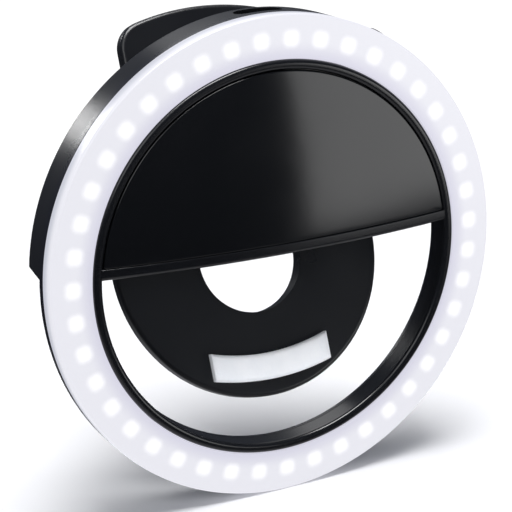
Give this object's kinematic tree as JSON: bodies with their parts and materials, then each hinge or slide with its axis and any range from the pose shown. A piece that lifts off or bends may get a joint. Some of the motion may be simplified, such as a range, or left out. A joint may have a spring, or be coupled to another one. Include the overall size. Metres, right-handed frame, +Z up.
{
  "type": "clip-on ring light",
  "caption": "Flat ring light for a phone: milky lit ring, deep half-disc housing across its upper half, and a sprung clip behind with a lens hole and a finger lever.",
  "frame": {"origin": "centre of the ring, on the rear face of the thin ring, where the phone's glass rests", "axes": "+Y out of that face towards the phone and the clip, -Y the way the light shines, +Z up towards the housing, +X to the right seen from the lit side"},
  "size_m": [0.085, 0.0329, 0.085],
  "materials": {
    "milky_polycarbonate": "frosted, lets light through",
    "white_board": "white solder mask",
    "emitter": "phosphor gel in a white cup",
    "chip_black": "moulded",
    "black_satin": "moulded ABS, satin",
    "black_gloss": "moulded ABS, polished",
    "white_plastic": "moulded",
    "green_board": "green solder mask",
    "steel": "bright drawn",
    "screw_steel": "black zinc plated",
    "silver_pouch": "laminated foil",
    "white_tape": "foam tape",
    "red_lead": "insulated wire",
    "black_lead": "insulated wire",
    "foam": "closed-cell foam"
  },
  "bodies": {
    "housing": {"diffuser": "milky_polycarbonate", "led_board": "white_board", "leds": "emitter", "led_resistors": "chip_black", "ring_frame": "black_satin", "front_frame": "black_gloss", "front_panel": "black_gloss", "rear_cover": "black_satin", "switch_body": "chip_black", "control_board": "green_board", "board_chips": "chip_black", "usb_shell": "steel", "usb_tongue": "chip_black", "charge_lamp": "emitter", "battery": "silver_pouch", "battery_tape": "white_tape", "battery_guard_board": "green_board", "battery_lead_positive": "red_lead", "battery_lead_negative": "black_lead", "led_lead_positive": "red_lead", "led_lead_negative": "black_lead", "cover_screws": "screw_steel", "hinge_pin": "steel", "torsion_spring": "steel"},
    "jaw": {"clip": "black_satin", "jaw_pad": "foam"},
    "button": {"button_cap": "black_satin", "switch_plunger": "white_plastic"}
  },
  "joints": [
    {"name": "clip_hinge", "type": "hinge", "parent": "housing", "child": "jaw", "pos_m": [0, 0.0086, 0.009], "axis": [1, 0, 0], "range_deg": [0, 28], "stiffness_Nm_per_rad": 0.2, "springref_deg": -40.11, "deforming": ["torsion_spring"]},
    {"name": "button_press", "type": "slide", "parent": "housing", "child": "button", "axis": [-0.5736, 0, -0.8192], "range_m": [0, 0.0005], "stiffness_N_per_m": 1500}
  ]
}
